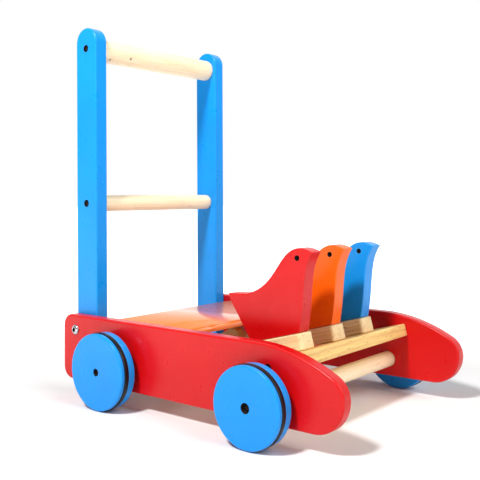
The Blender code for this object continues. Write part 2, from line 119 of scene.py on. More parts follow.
SCREW_HEAD_RADIUS = 0.0045
SCREW_HEAD_HEIGHT = 0.0026
SCREW_SHANK_RADIUS = 0.002
SCREW_SINK = 0.0012
SCREW_CROWN = (0.70, 0.0002)  # share of the head's radius, and how far the head has sloped by there
SCREW_RIM_DROP = 0.0011
SCREW_POINT = 0.004
SCREW_EDGE = 0.0004
SCREW_CROSS = (0.0042, 0.0011, 0.0014)  # length, width and depth of the cross recess
WHEEL_SCREW_RADIUS = 0.0040
BOLT_SHANK_RADIUS = 0.003
BOLT_HEAD_HEIGHT = 0.0032
BOLT_SOCKET_RADIUS = 0.0031
BOLT_SOCKET_DEPTH = 0.0018
BOLT_SOCKET_TURN = 0.2
BOLT_DOME_STEPS = 12

FINE = 96  # sides of the wheels
ROUND = 64  # sides of the dowels
SMALL = 40  # sides of the fasteners and drilled holes


# ---------------------------------------------------------------- material helpers
FULL_EDGE = 0.93  # cosine of the turn at which an edge counts as fully rounded


def linear(red, green, blue):
    """Three 0-255 display channels as a linear colour."""
    shares = [channel / 255.0 for channel in (red, green, blue)]
    return [s / 12.92 if s <= 0.04045 else ((s + 0.055) / 1.055) ** 2.4 for s in shares] + [1.0]


def add_node(tree, kind, inputs=None, **settings):
    """A node with its settings, its sockets set to values or linked to other sockets."""
    made = tree.nodes.new(kind)
    for key, value in settings.items():
        setattr(made, key, value)
    for key, value in (inputs or {}).items():
        if isinstance(value, bpy.types.NodeSocket):
            tree.links.new(value, made.inputs[key])
        else:
            made.inputs[key].default_value = value
    return made


def new_material(name):
    """A material with only its Principled shader and output."""
    material = bpy.data.materials.new(name)
    material.use_nodes = True
    return material, material.node_tree, material.node_tree.nodes["Principled BSDF"]


def maths(tree, operation, first, second=0.0, clamp=False):
    """The result of a Math node."""
    values = {0: first, 1: second}
    return add_node(tree, "ShaderNodeMath", values, operation=operation, use_clamp=clamp).outputs[0]


def grain_space(tree, centre, turn, stretch):
    """Coordinates about a piece's middle whose X runs along the grain, `stretch` times slower."""
    place = add_node(tree, "ShaderNodeTexCoord").outputs["Object"]
    mapping = add_node(tree, "ShaderNodeMapping", {"Vector": place}, vector_type="TEXTURE")
    mapping.inputs["Location"].default_value = centre
    mapping.inputs["Rotation"].default_value = turn
    mapping.inputs["Scale"].default_value = (stretch, 1.0, 1.0)
    return mapping.outputs["Vector"]


def noise(tree, space, scale, detail=3.0, roughness=0.5):
    """Cloudy noise from 0 to 1, with about `scale` clouds to the metre."""
    values = {"Vector": space, "Scale": scale, "Detail": detail, "Roughness": roughness}
    return add_node(tree, "ShaderNodeTexNoise", values).outputs["Fac"]


def rescale(tree, value, low, high, to_low, to_high):
    """Maps low..high onto to_low..to_high, clamped."""
    values = {"Value": value, "From Min": low, "From Max": high, "To Min": to_low, "To Max": to_high}
    return add_node(tree, "ShaderNodeMapRange", values).outputs["Result"]


def mix(tree, share, first, second):
    """The first colour, with `share` of the second in it."""
    values = {"Factor": share, 6: first, 7: second}
    return add_node(tree, "ShaderNodeMix", values, data_type="RGBA").outputs[2]


def bump(tree, height, strength, distance, below=None):
    """A normal tilted by a height, on top of another bump where `below` is given."""
    values = {"Height": height, "Strength": strength, "Distance": distance}
    if below is not None:
        values["Normal"] = below
    return add_node(tree, "ShaderNodeBump", values).outputs["Normal"]


def edge_mask(tree, radius):
    """Near 1 along rounded edges and 0 on flats."""
    values = {"Radius": radius}
    rounded = add_node(tree, "ShaderNodeBevel", values, samples=4).outputs["Normal"]
    real = add_node(tree, "ShaderNodeNewGeometry").outputs["Normal"]
    dot = add_node(tree, "ShaderNodeVectorMath", {0: rounded, 1: real}, operation="DOT_PRODUCT")
    return rescale(tree, dot.outputs["Value"], 1.0, FULL_EDGE, 0.0, 1.0)


# ---------------------------------------------------------------- materials
GRAIN_X = (0.0, 0.0, 0.0)
GRAIN_Y = (0.0, 0.0, QUARTER)
GRAIN_Z = (0.0, -QUARTER, 0.0)
GRAIN_ARM = (0.0, -TILT, 0.0)

# a paint's own tone, then its tone where it is worn thin
PAINTS = {
    "red": (linear(210, 10, 14), linear(244, 70, 62)),
    "blue": (linear(4, 146, 234), linear(92, 192, 248)),
    "orange": (linear(254, 102, 10), linear(255, 160, 74)),
    "pale orange": (linear(254, 126, 28), linear(255, 176, 96)),
}
DEEP_TONE = 0.80  # share of a paint's colour that is left in its deeper patches
WORN_REACH = 0.0016  # how far wear reaches in from an edge
WEAR = 0.38  # share of the worn tone along an edge
SATIN = (0.26, 0.08)  # specular level and coat weight
GLOSSY = (0.6, 0.9)

# light tone, dark tone, and how strongly the growth rings and the pores show
WOODS = {
    "tan": (linear(246, 212, 134), linear(190, 120, 56), 0.22, 0.6),
    "pale": (linear(254, 240, 206), linear(230, 190, 134), 0.08, 0.28),
    "cream": (linear(253, 234, 186), linear(216, 162, 100), 0.14, 0.6),
}
FIBRE_SHARE = 0.42  # how strongly the fine fibres show, in any of the woods
BAND_SHARE = 0.35
PORE_TONE = linear(150, 88, 44)
KNOT_TONE = linear(84, 48, 24)
KNOT_REACH = (0.0010, 0.0030)  # a knot's dark middle and the end of its stain
KNOT_WANDER = (-0.0006, 0.0012)
GRIP_KNOTS = ((0.0100, -0.0940, -0.0112), (0.0140, -0.0600, -0.0060))  # from the dowel's middle
RING_PITCH = 0.0034  # from one growth ring to the next
RING_WANDER = 0.0035
HEART = (0.034, -0.046)  # how far the heart of the tree lies to the side of a piece and below it
HEART_STEP = 0.004
SEED_SHIFT = (0.37, 0.11, 0.23)  # how far apart in the wood two seeds are
WOOD_SEED = {"plank": 1, "handle": 2, "axle": 4, "spacer": 6, "pivot": 8, "arm": 20, "cam": 30}


def paint(name, colour, centre, turn, gloss=SATIN):
    """Paint on a board: faint grain under it, fine orange peel, thinner on the edges."""
    material, tree, shader = new_material(name)
    body, worn = PAINTS[colour]
    grain = grain_space(tree, centre, turn, stretch=22.0)
    even = grain_space(tree, centre, turn, stretch=1.0)
    clouds = noise(tree, even, 14.0, detail=4.0)
    streaks = noise(tree, grain, 260.0, detail=4.0)
    deep = [channel * DEEP_TONE for channel in body[:3]] + [1.0]
    tone = mix(tree, rescale(tree, clouds, 0.3, 0.7, 0.0, 0.55), body, deep)
    tone = mix(tree, rescale(tree, streaks, 0.35, 0.80, 0.0, 0.30), tone, deep)
    specks = rescale(tree, noise(tree, even, 420.0, detail=2.0), 0.44, 0.62, 0.15, 1.0)
    wear = maths(tree, "MULTIPLY", edge_mask(tree, WORN_REACH), specks)
    wear = maths(tree, "MULTIPLY", wear, WEAR)
    tree.links.new(mix(tree, wear, tone, worn), shader.inputs["Base Color"])
    smear = noise(tree, even, 60.0)
    tree.links.new(rescale(tree, smear, 0.3, 0.7, 0.26, 0.38), shader.inputs["Roughness"])
    surface = bump(tree, streaks, strength=0.16, distance=0.00010)
    peel = noise(tree, even, 700.0, detail=2.0)
    surface = bump(tree, peel, strength=0.06, distance=0.00005, below=surface)
    tree.links.new(surface, shader.inputs["Normal"])
    specular, coat = gloss
    shader.inputs["Specular IOR Level"].default_value = specular
    shader.inputs["Coat Weight"].default_value = coat
    shader.inputs["Coat Roughness"].default_value = 0.14
    return material


def bare_wood(name, wood, centre, turn, seed, knots=()):
    """Close grained wood: growth rings in the round, fine fibres, short dark pores and knots."""
    material, tree, shader = new_material(name)
    light, dark, ring_share, pore_share = WOODS[wood]
    shift = Vector([seed * step for step in SEED_SHIFT])
    grain = grain_space(tree, centre + shift, turn, stretch=26.0)
    slow = grain_space(tree, centre + shift, turn, stretch=9.0)
    even = grain_space(tree, centre, turn, stretch=1.0)
    heart = Vector((0.0, HEART[0] + HEART_STEP * (seed % 3), HEART[1]))
    off = add_node(tree, "ShaderNodeVectorMath", {0: even, 1: heart}, operation="SUBTRACT").outputs[0]
    across = {0: off, 1: (0.0, 1.0, 1.0)}
    across = add_node(tree, "ShaderNodeVectorMath", across, operation="MULTIPLY").outputs[0]
    length = add_node(tree, "ShaderNodeVectorMath", {0: across}, operation="LENGTH").outputs["Value"]
    wander = rescale(tree, noise(tree, slow, 38.0), 0.0, 1.0, -RING_WANDER, RING_WANDER)
    rings = maths(tree, "MULTIPLY", maths(tree, "ADD", length, wander), 2.0 * math.pi / RING_PITCH)
    rings = rescale(tree, maths(tree, "SINE", rings), -0.2, 1.0, 0.0, 1.0)
    fibres = noise(tree, grain, 520.0, detail=5.0, roughness=0.65)
    bands = noise(tree, slow, 70.0)
    tone = maths(tree, "MULTIPLY", rings, ring_share)
    tone = maths(tree, "ADD", tone, rescale(tree, fibres, 0.35, 0.75, 0.0, FIBRE_SHARE))
    tone = maths(tree, "ADD", tone, rescale(tree, bands, 0.35, 0.8, 0.0, BAND_SHARE), clamp=True)
    colour = mix(tree, tone, light, dark)
    short = grain_space(tree, centre + shift, turn, stretch=7.0)
    pores = rescale(tree, noise(tree, short, 620.0, detail=1.0), 0.64, 0.74, 0.0, pore_share)
    colour = mix(tree, pores, colour, PORE_TONE)
    place = add_node(tree, "ShaderNodeTexCoord").outputs["Object"]
    for knot in knots:
        apart = {0: place, 1: centre + Vector(knot)}
        apart = add_node(tree, "ShaderNodeVectorMath", apart, operation="DISTANCE").outputs["Value"]
        apart = maths(tree, "ADD", apart, rescale(tree, fibres, 0.3, 0.7, *KNOT_WANDER))
        colour = mix(tree, rescale(tree, apart, *KNOT_REACH, 0.9, 0.0), colour, KNOT_TONE)
    tree.links.new(colour, shader.inputs["Base Color"])
    tree.links.new(rescale(tree, fibres, 0.3, 0.7, 0.42, 0.58), shader.inputs["Roughness"])
    surface = bump(tree, fibres, strength=0.35, distance=0.00012)
    surface = bump(tree, pores, strength=-0.30, distance=0.00010, below=surface)
    tree.links.new(surface, shader.inputs["Normal"])
    shader.inputs["Coat Weight"].default_value = 0.10
    shader.inputs["Coat Roughness"].default_value = 0.30
    return material


def rubber(name):
    """Smooth black rubber with a little dust and a moulded skin."""
    material, tree, shader = new_material(name)
    space = add_node(tree, "ShaderNodeTexCoord").outputs["Object"]
    dust = noise(tree, space, 90.0, detail=5.0, roughness=0.7)
    dusty = rescale(tree, dust, 0.5, 0.8, 0.0, 0.4)
    colour = mix(tree, dusty, linear(9, 10, 12), linear(40, 40, 40))
    tree.links.new(colour, shader.inputs["Base Color"])
    tree.links.new(rescale(tree, dust, 0.3, 0.7, 0.26, 0.40), shader.inputs["Roughness"])
    shader.inputs["Specular IOR Level"].default_value = 0.28
    skin = noise(tree, space, 1500.0, detail=2.0)
    surface = bump(tree, skin, strength=0.18, distance=0.00005)
    tree.links.new(surface, shader.inputs["Normal"])
    return material


def metal(name, colour, dull, rough_low, rough_high):
    """Metal with fine marks and uneven polish."""
    material, tree, shader = new_material(name)
    space = add_node(tree, "ShaderNodeTexCoord").outputs["Object"]
    marks = noise(tree, space, 600.0, detail=5.0, roughness=0.7)
    tone = mix(tree, rescale(tree, marks, 0.45, 0.75, 0.0, 0.5), colour, dull)
    tree.links.new(tone, shader.inputs["Base Color"])
    tree.links.new(rescale(tree, marks, 0.3, 0.7, rough_low, rough_high), shader.inputs["Roughness"])
    tree.links.new(bump(tree, marks, strength=0.12, distance=0.00004), shader.inputs["Normal"])
    shader.inputs["Metallic"].default_value = 1.0
    return material


def dark_hole(name):
    """The wall of a drilled hole, painted near black as the shade deep in the hole, with mottled
    marks.
    """
    material, tree, shader = new_material(name)
    space = add_node(tree, "ShaderNodeTexCoord").outputs["Object"]
    marks = noise(tree, space, 900.0, detail=4.0, roughness=0.6)
    # near black to dark brown: painted shade inside the hole
    colour = mix(tree, marks, linear(16, 14, 12), linear(44, 34, 26))
    tree.links.new(colour, shader.inputs["Base Color"])
    tree.links.new(rescale(tree, marks, 0.3, 0.7, 0.55, 0.85), shader.inputs["Roughness"])
    tree.links.new(bump(tree, marks, strength=0.4, distance=0.00015), shader.inputs["Normal"])
    return material


RUBBER = rubber("rubber_ring")
CHROME = metal("chrome_bolt_steel", linear(206, 208, 212), linear(120, 122, 128), 0.10, 0.26)
BLACK_STEEL = metal("black_screw_steel", linear(34, 33, 34), linear(66, 60, 56), 0.30, 0.48)
SOCKET = metal("screw_socket_steel", linear(92, 58, 44), linear(40, 28, 24), 0.40, 0.60)
# painted shade: the near black wall of the drilled holes, the birds' eyes and the hub recesses
HOLE_SHADE = dark_hole("drilled_hole_painted_shade")


# ---------------------------------------------------------------- mesh helpers
def middle(node):
    """The middle of a CAD node's box."""
    low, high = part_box(node)
    return (low + high) / 2


def arc(centre, radius, start, end, steps):
    """Points of an arc in the XZ plane; angles run from +X towards +Z."""
    angles = [start + (end - start) * i / steps for i in range(steps + 1)]
    return [(centre[0] + radius * math.cos(a), centre[1] + radius * math.sin(a)) for a in angles]


def bezier(p0, p1, p2, p3, steps):
    """Points of a cubic curve, without its last point."""
    points = []
    for i in range(steps):
        t = i / steps
        weights = ((1 - t) ** 3, 3 * t * (1 - t) ** 2, 3 * t * t * (1 - t), t**3)
        corners = (p0, p1, p2, p3)
        points.append(tuple(sum(w * p[k] for w, p in zip(weights, corners)) for k in (0, 1)))
    return points


def softened(points, reach, steps=4):
    """An open profile with each inner corner rounded over `reach` on both sides."""
    result = [points[0]]
    for before, corner, after in zip(points, points[1:], points[2:]):
        c = Vector(corner)
        back = Vector(before) - c
        ahead = Vector(after) - c
        start = c + back * min(0.5, reach / back.length)
        end = c + ahead * min(0.5, reach / ahead.length)
        for i in range(steps + 1):
            t = i / steps
            result.append(tuple(start * (1 - t) ** 2 + c * 2 * t * (1 - t) + end * t * t))
    return result + [points[-1]]


def box_outline(length, height):
    """A rectangle about 0 in the XZ plane."""
    a, b = length / 2, height / 2
    return [(-a, -b), (a, -b), (a, b), (-a, b)]


def mesh_object(name, work, material):
    """A finished bmesh as an object with one material, smooth between its sharp edges."""
    bmesh.ops.recalc_face_normals(work, faces=work.faces)
    mesh = bpy.data.meshes.new(name)
    work.to_mesh(mesh)
    work.free()
    mesh.shade_smooth()
    mesh.set_sharp_from_angle(angle=SHARP_TURN)
    mesh.materials.append(material)
    item = bpy.data.objects.new(name, mesh)
    bpy.context.scene.collection.objects.link(item)
    return item


def turned(name, profile, material, segments, x=0.0, z=0.0, closed=False):
    """A piece turned about a line along Y through (x, z). `profile` lists (radius, y) points."""
    work = bmesh.new()
    verts = [work.verts.new((radius, y, 0.0)) for radius, y in profile]
    pairs = list(zip(verts, verts[1:]))
    if closed:
        pairs.append((verts[-1], verts[0]))
    edges = [work.edges.new(pair) for pair in pairs]
    bmesh.ops.spin(
        work,
        geom=verts + edges,
        cent=(0.0, 0.0, 0.0),
        axis=(0.0, 1.0, 0.0),
        dvec=(0.0, 0.0, 0.0),
        angle=2 * math.pi,
        steps=segments,
        use_merge=True,
    )
    bmesh.ops.remove_doubles(work, verts=work.verts, dist=WELD)
    bmesh.ops.translate(work, verts=work.verts, vec=(x, 0.0, z))
    return mesh_object(name, work, material)


def board(name, outline, width, material, place):
    """A board sawn to an XZ outline, `width` thick along Y about its middle, then put in place."""
    work = bmesh.new()
    ring = [work.verts.new((x, -width / 2, z)) for x, z in outline]
    face = work.faces.new(ring)
    grown = bmesh.ops.extrude_face_region(work, geom=[face])
    moved = [v for v in grown["geom"] if isinstance(v, bmesh.types.BMVert)]
    bmesh.ops.translate(work, verts=moved, vec=(0.0, width, 0.0))
    item = mesh_object(name, work, material)
    item.matrix_world = place
    return item


def ease(item, width, segments, angle):
    """Rounds the edges that turn by more than `angle`."""
    bevel = item.modifiers.new("eased", "BEVEL")
    bevel.width = width
    bevel.segments = segments
    bevel.limit_method = "ANGLE"
    bevel.angle_limit = angle
    bevel.miter_outer = "MITER_ARC"


def cut(item, cutters):
    """Takes the cutters' volumes out of the item; the cut walls get the cutters' materials."""
    for cutter in cutters:
        boolean = item.modifiers.new(cutter.name, "BOOLEAN")
        boolean.operation = "DIFFERENCE"
        boolean.solver = "EXACT"
        boolean.material_mode = "TRANSFER"
        boolean.object = cutter


def settle(item, cutters=()):
    """Keeps the item's evaluated mesh, in the frame's own axes, and removes its cutters."""
    bpy.context.view_layer.update()
    graph = bpy.context.evaluated_depsgraph_get()
    shaped = item.evaluated_get(graph)
    mesh = bpy.data.meshes.new_from_object(shaped, preserve_all_data_layers=True, depsgraph=graph)
    mesh.transform(item.matrix_world)
    item.modifiers.clear()
    item.data = mesh
    item.matrix_world = Matrix.Identity(4)
    for cutter in cutters:
        bpy.data.objects.remove(cutter, do_unlink=True)
    return item


def finish_board(item, edge, cutters=()):
    """Eased edges, then the holes with slightly rounded rims, then even shading on the flats."""
    ease(item, edge, 4, BOARD_CORNER)
    if cutters:
        cut(item, cutters)
        ease(item, HOLE_EDGE, 2, RIM_CORNER)
    normals = item.modifiers.new("even_normals", "WEIGHTED_NORMAL")
    normals.keep_sharp = True
    return settle(item, cutters)


def hole(x, z, steps, material, segments=SMALL):
    """A cutter for a round hole along Y. `steps` lists (radius, y) from one end to the other."""
    profile = [(0.0, steps[0][1]), *steps, (0.0, steps[-1][1])]
    return turned("cutter", profile, material, segments, x, z)


def plain_steps(radius, y_from, y_to):
    """A hole of one radius, for `hole`."""
    return [(radius, y_from), (radius, y_to)]


def screw_steps(face_y, sign, y_to):
    """A sunk screw's hole, from outside the face at `face_y` in to `y_to`."""
    seat = face_y - sign * (SCREW_SINK + SCREW_HEAD_HEIGHT + GAP)
    head = SCREW_HEAD_RADIUS + GAP
    shank = SCREW_SHANK_RADIUS + GAP
    return [(head, face_y + sign * OVERCUT), (head, seat), (shank, seat), (shank, y_to)]


def stand_for(item, node):
    """The item takes the CAD node's place, on its body."""
    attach(item, BODY_OF[node])
    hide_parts(node)
    return item


# ---------------------------------------------------------------- frame boards
def panel_outline(low, high):
    """Side panel outline, anticlockwise from the front end of the bottom edge."""
    r = PANEL_REAR_RADIUS
    nose_z = low.z + NOSE_LOW_RADIUS
    low_centre = (high.x - NOSE_LOW_RADIUS, nose_z)
    top_centre = (high.x - NOSE_TOP_RADIUS, nose_z)
    brow_start_z = nose_z + NOSE_TOP_RADIUS * math.cos(BROW_ANGLE)
    brow_radius = (high.z - brow_start_z) / (1.0 - math.cos(BROW_ANGLE))
    brow_start_x = top_centre[0] + NOSE_TOP_RADIUS * math.sin(BROW_ANGLE)
    brow_centre = (brow_start_x - brow_radius * math.sin(BROW_ANGLE), high.z - brow_radius)
    points = arc(low_centre, NOSE_LOW_RADIUS, -QUARTER, 0.0, 20)
    points += arc(top_centre, NOSE_TOP_RADIUS, 0.0, QUARTER - BROW_ANGLE, 14)[1:]
    points += arc(brow_centre, brow_radius, QUARTER - BROW_ANGLE, QUARTER, 24)[1:]
    points += arc((low.x + r, high.z - r), r, QUARTER, 2 * QUARTER, 12)
    points += arc((low.x + r, low.z + r), r, 2 * QUARTER, 3 * QUARTER, 12)
    return points


def panels():
    """Side panels, with the axles', bolts', screws' and rod's holes and the deck's grooves."""
    for side, sign in SIDES:
        node = "side_panel_" + side
        low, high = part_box(node)
        inner = low.y if sign > 0 else high.y
        outer = high.y if sign > 0 else low.y
        through = (inner - sign * OVERCUT, outer + sign * OVERCUT)
        material = paint(node + "_paint", "red", middle(node), GRAIN_X)
        place = Matrix.Translation((0.0, (inner + outer) / 2, 0.0))
        panel = board(node + "_board", panel_outline(low, high), high.y - low.y, material, place)
        cutters = []
        for name in ("front_axle_roll", "rear_axle_roll"):
            at = JOINT_AT[name]
            steps = plain_steps(AXLE_RADIUS + RUNNING_GAP, *through)
            cutters.append(hole(at.x, at.z, steps, material))
        for level in ("low", "high"):
            at = middle("post_bolt_" + side + "_" + level)
            steps = plain_steps(BOLT_SHANK_RADIUS + GAP, *through)
            cutters.append(hole(at.x, at.z, steps, material))
        at = middle("plank_screw_" + side)
        cutters.append(hole(at.x, at.z, screw_steps(outer, sign, through[0]), HOLE_SHADE))
        at = middle("pivot_rod")
        socket = plain_steps(PIVOT_RADIUS + GAP, through[0], inner + sign * PIVOT_SOCKET_DEPTH)
        cutters.append(hole(at.x, at.z, socket, material))
        deck_low, deck_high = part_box("deck_board")
        outline = box_outline(deck_high.x - deck_low.x + 2 * GAP, DECK_TONGUE + 2 * GAP)
        at = middle("deck_board")
        place = Matrix.Translation((at.x, inner, deck_low.z + DECK_TONGUE / 2))
        cutters.append(board("cutter", outline, 2 * (DECK_GROOVE + GAP), material, place))
        stand_for(finish_board(panel, PANEL_EDGE, cutters), node)


def posts():
    """Handle posts with half round tops, drilled for the bolts and the dowels' screws."""
    for side, sign in SIDES:
        node = "handle_post_" + side
        low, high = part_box(node)
        inner = low.y if sign > 0 else high.y
        outer = high.y if sign > 0 else low.y
        half = (high.x - low.x) / 2
        outline = [(-half, low.z), (half, low.z)]
        outline += arc((0.0, high.z - half), half, 0.0, math.pi, 40)
        at = middle(node)
        material = paint(node + "_paint", "blue", at, GRAIN_Z)
        place = Matrix.Translation((at.x, at.y, 0.0))
        post = board(node + "_board", outline, high.y - low.y, material, place)
        cutters = []
        for level in ("low", "high"):
            bolt_low, bolt_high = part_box("post_bolt_" + side + "_" + level)
            tip = bolt_high.y + OVERCUT if sign < 0 else bolt_low.y - OVERCUT
            steps = plain_steps(BOLT_SHANK_RADIUS + GAP, outer + sign * OVERCUT, tip)
            spot = middle("post_bolt_" + side + "_" + level)
            cutters.append(hole(spot.x, spot.z, steps, HOLE_SHADE))
        for level in ("grip", "mid"):
            spot = middle("handle_" + level + "_dowel")
            steps = screw_steps(outer, sign, inner - sign * OVERCUT)
            cutters.append(hole(spot.x, spot.z, steps, HOLE_SHADE))
        stand_for(finish_board(post, POST_EDGE, cutters), node)


def deck():
    """The deck board, rebated at both ends so that its tongues enter the panels' grooves."""
    low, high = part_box("deck_board")
    at = middle("deck_board")
    material = paint("deck_paint", "pale orange", at, GRAIN_Y, GLOSSY)
    outline = box_outline(high.x - low.x, high.z - low.z)
    item = board("deck_board_finished", outline, high.y - low.y, material, Matrix.Translation(at))
    ease(item, DECK_EDGE, 4, BOARD_CORNER)
    rebate = high.z - low.z - DECK_TONGUE
    outline = box_outline(high.x - low.x + 2 * OVERCUT, 2 * rebate)
    cutters = []
    for side, sign in SIDES:
        panel_low, panel_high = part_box("side_panel_" + side)
        inner = panel_low.y if sign > 0 else panel_high.y
        place = Matrix.Translation((at.x, inner + sign * (DECK_GROOVE - GAP), high.z))
        cutters.append(board("cutter", outline, 2 * DECK_GROOVE, material, place))
    cut(item, cutters)
    stand_for(settle(item, cutters), "deck_board")


def plank():
    """The sloping plank, with a pilot hole for the screw at each end."""
    low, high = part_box("front_plank")
    at = middle("front_plank")
    material = bare_wood("plank_wood", "tan", at, GRAIN_Y, WOOD_SEED["plank"])
    place = Matrix.Translation(at) @ Matrix.Rotation(-TILT, 4, "Y")
    outline = box_outline(PLANK_WIDTH, PLANK_THICKNESS)
    item = board("front_plank_board", outline, high.y - low.y, material, place)
    cutters = []
    for side, sign in SIDES:
        screw_low, screw_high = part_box("plank_screw_" + side)
        tip = screw_high.y + OVERCUT if sign < 0 else screw_low.y - OVERCUT
        steps = plain_steps(SCREW_SHANK_RADIUS + GAP, sign * (high.y + OVERCUT), tip)
        cutters.append(hole(at.x, at.z, steps, HOLE_SHADE))
    stand_for(finish_board(item, PLANK_EDGE, cutters), "front_plank")


# ---------------------------------------------------------------- dowels and tubes
def dowel(node, seed, screws=(), knots=()):
    """A round rod along Y with eased ends, drilled for the screws in its ends."""
    low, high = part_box(node)
    at = middle(node)
    radius = (high.z - low.z) / 2
    ends = [(0.0, low.y), (radius, low.y), (radius, high.y), (0.0, high.y)]
    material = bare_wood(node + "_wood", "pale", at, GRAIN_Y, seed, knots)
    item = turned(node + "_rod", softened(ends, DOWEL_EDGE), material, ROUND, at.x, at.z)
    cutters = []
    for name, sign in screws:
        screw_low, screw_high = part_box(name)
        end = high.y if sign > 0 else low.y
        tip = screw_high.y + OVERCUT if sign < 0 else screw_low.y - OVERCUT
        steps = plain_steps(SCREW_SHANK_RADIUS + GAP, end + sign * OVERCUT, tip)
        cutters.append(hole(at.x, at.z, steps, HOLE_SHADE))
    cut(item, cutters)
    stand_for(settle(item, cutters), node)


def sleeve(node, bore_radius, seed):
    """A turned wooden tube along Y with eased rims."""
    low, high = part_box(node)
    at = middle(node)
    outer = (high.z - low.z) / 2
    e = DOWEL_EDGE
    profile = [
        (bore_radius, low.y),
        (outer - e, low.y),
        (outer, low.y + e),
        (outer, high.y - e),
        (outer - e, high.y),
        (bore_radius, high.y),
    ]
    material = bare_wood(node + "_wood", "pale", at, GRAIN_Y, seed)
    stand_for(turned(node + "_tube", profile, material, ROUND, at.x, at.z, closed=True), node)


def dowels():
    """The handle's dowels, the axles with their hub spacers, and the pivot rod with its sleeves."""
    for number, level in enumerate(("grip", "mid")):
        screws = [("handle_screw_" + side + "_" + level, sign) for side, sign in SIDES]
        knots = GRIP_KNOTS if level == "grip" else ()
        dowel("handle_" + level + "_dowel", WOOD_SEED["handle"] + number, screws, knots)
    for number, end in enumerate(ENDS):
        screws = [(end + "_wheel_screw_" + side, sign) for side, sign in SIDES]
        dowel(end + "_axle", WOOD_SEED["axle"] + number, screws)
        for side, _ in SIDES:
            sleeve(end + "_spacer_" + side, AXLE_RADIUS + GAP, WOOD_SEED["spacer"] + number)
    dowel("pivot_rod", WOOD_SEED["pivot"])
    for number in range(1, PIVOT_SLEEVES + 1):
        sleeve("pivot_sleeve_" + str(number), PIVOT_RADIUS + GAP, WOOD_SEED["pivot"] + number)


# ---------------------------------------------------------------- wheels
def from_face(profile, sign, face_y):
    """(radius, depth) points as (radius, y), measured inward from a face on one side."""
    return [(radius, face_y - sign * depth) for radius, depth in profile]


def wheel_profile(radius, recess):
    """(radius, depth) outline of half a wheel, from the hub recess round to the axle bore."""
    t = WHEEL_THICKNESS
    floor = radius - GROOVE_DEPTH
    groove_end = GROOVE_START + GROOVE_WIDTH
    bored = AXLE_RADIUS + GAP
    # the softened stretches meet on the flats, away from the corners
    inner_flat = radius * 0.6
    outer_flat = radius * 0.7
    lip = GROOVE_START * 0.2
    face = softened([(recess, HUB_RECESS_DEPTH), (recess, 0.0), (inner_flat, 0.0)], HUB_EDGE)
    rim_end = (radius, GROOVE_START * 0.7)
    rim = softened([(outer_flat, 0.0), (radius, 0.0), rim_end], WHEEL_EDGE, steps=8)
    groove = [
        (radius, GROOVE_START * 0.8),
        (radius, GROOVE_START),
        (floor, GROOVE_START),
        (floor, groove_end),
        (radius, groove_end),
        (radius, groove_end + lip),
    ]
    back = [(radius, t - GROOVE_START), (radius, t), (outer_flat, t)]
    back = softened(back, WHEEL_EDGE, steps=8)
    screw = SCREW_SHANK_RADIUS + GAP
    bores = [
        (bored, t),
        (bored, t - AXLE_BORE_DEPTH),
        (screw, t - AXLE_BORE_DEPTH),
        (screw, HUB_RECESS_DEPTH),
    ]
    return face + rim + softened(groove, GROOVE_EDGE, steps=3) + back + bores


def ring_profile(radius, proud_radius):
    """(radius, depth) outline of the crowned rubber ring."""
    start = GROOVE_START + GAP
    end = GROOVE_START + GROOVE_WIDTH - GAP
    low = radius - GROOVE_DEPTH + GAP
    shoulder = radius - GAP
    steps = 14
    crown = []
    for i in range(steps + 1):
        t = i / steps
        height = (1.0 - abs(2.0 * t - 1.0) ** CROWN_POWER) ** (1.0 / CROWN_POWER)
        crown.append((shoulder + (proud_radius - shoulder) * height, start + (end - start) * t))
    return [(low, start), *crown, (low, end)]


def darken_hub(wheel, recess, at, face_y):
    """The hub recess, which isn't painted, gets the near black hole material: painted shade in the
    recess.
    """
    wheel.data.materials.append(HOLE_SHADE)
    # faces inside the recess take the painted shade
    for face in wheel.data.polygons:
        off = face.center - Vector((at.x, face_y, at.z))
        if math.hypot(off.x, off.z) < recess + HUB_EDGE / 2 and abs(off.y) > HUB_EDGE / 2:
            face.material_index = 1


def wheels():
    """Painted discs with a groove and a hub recess, and the rubber rings in the grooves."""
    for end in ENDS:
        for side, sign in SIDES:
            node = end + "_wheel_" + side
            low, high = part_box(node)
            at = middle(node)
            face_y = high.y if sign > 0 else low.y
            radius = (high.z - low.z) / 2
            material = paint(node + "_paint", "blue", at, GRAIN_Z)
            profile = from_face(wheel_profile(radius, HUB_RECESS[end]), sign, face_y)
            wheel = turned(node + "_disc", profile, material, FINE, at.x, at.z, closed=True)
            darken_hub(wheel, HUB_RECESS[end], at, face_y)
            stand_for(wheel, node)
            ring_node = end + "_tyre_" + side
            ring_low, ring_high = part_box(ring_node)
            proud = (ring_high.z - ring_low.z) / 2
            profile = from_face(ring_profile(radius, proud), sign, face_y)
            ring = turned(ring_node + "_ring", profile, RUBBER, FINE, at.x, at.z, closed=True)
            stand_for(ring, ring_node)


# ---------------------------------------------------------------- rockers and cams
def bird_outline():
    """Bird outline in the arm's axes: X along the arm, Z up from its top, 0 at its front end."""
    breast_foot = (-0.0025, 0.0)
    tail_foot = (-0.0730, 0.0)
    tail_corner = (-0.0915, 0.0540)
    tail_tip = (-0.0920, 0.0620)
    nape = (-0.0660, 0.0562)
    crown = (0.0170, 0.0916)
    beak = (0.0380, 0.0825)
    points = bezier(breast_foot, (0.0160, 0.0370), (0.0170, 0.0660), beak, 30)
    points += bezier(beak, (0.0320, 0.0868), (0.0250, 0.0916), crown, 14)
    points += bezier(crown, (-0.0100, 0.0918), (-0.0210, 0.0545), nape, 34)
    points += [nape, tail_tip, tail_corner, tail_foot]
    return points


def round_front(item, radius):
    """Rounds a block's upright edges at its +X end."""
    work = bmesh.new()
    work.from_mesh(item.data)
    front = max(vert.co.x for vert in work.verts)
    upright = []
    for edge in work.edges:
        first, second = (vert.co for vert in edge.verts)
        if min(first.x, second.x) > front - GAP and abs(first.y - second.y) < GAP:
            upright.append(edge)
    bmesh.ops.bevel(work, geom=upright, offset=radius, segments=7, profile=0.5, affect="EDGES")
    work.to_mesh(item.data)
    work.free()


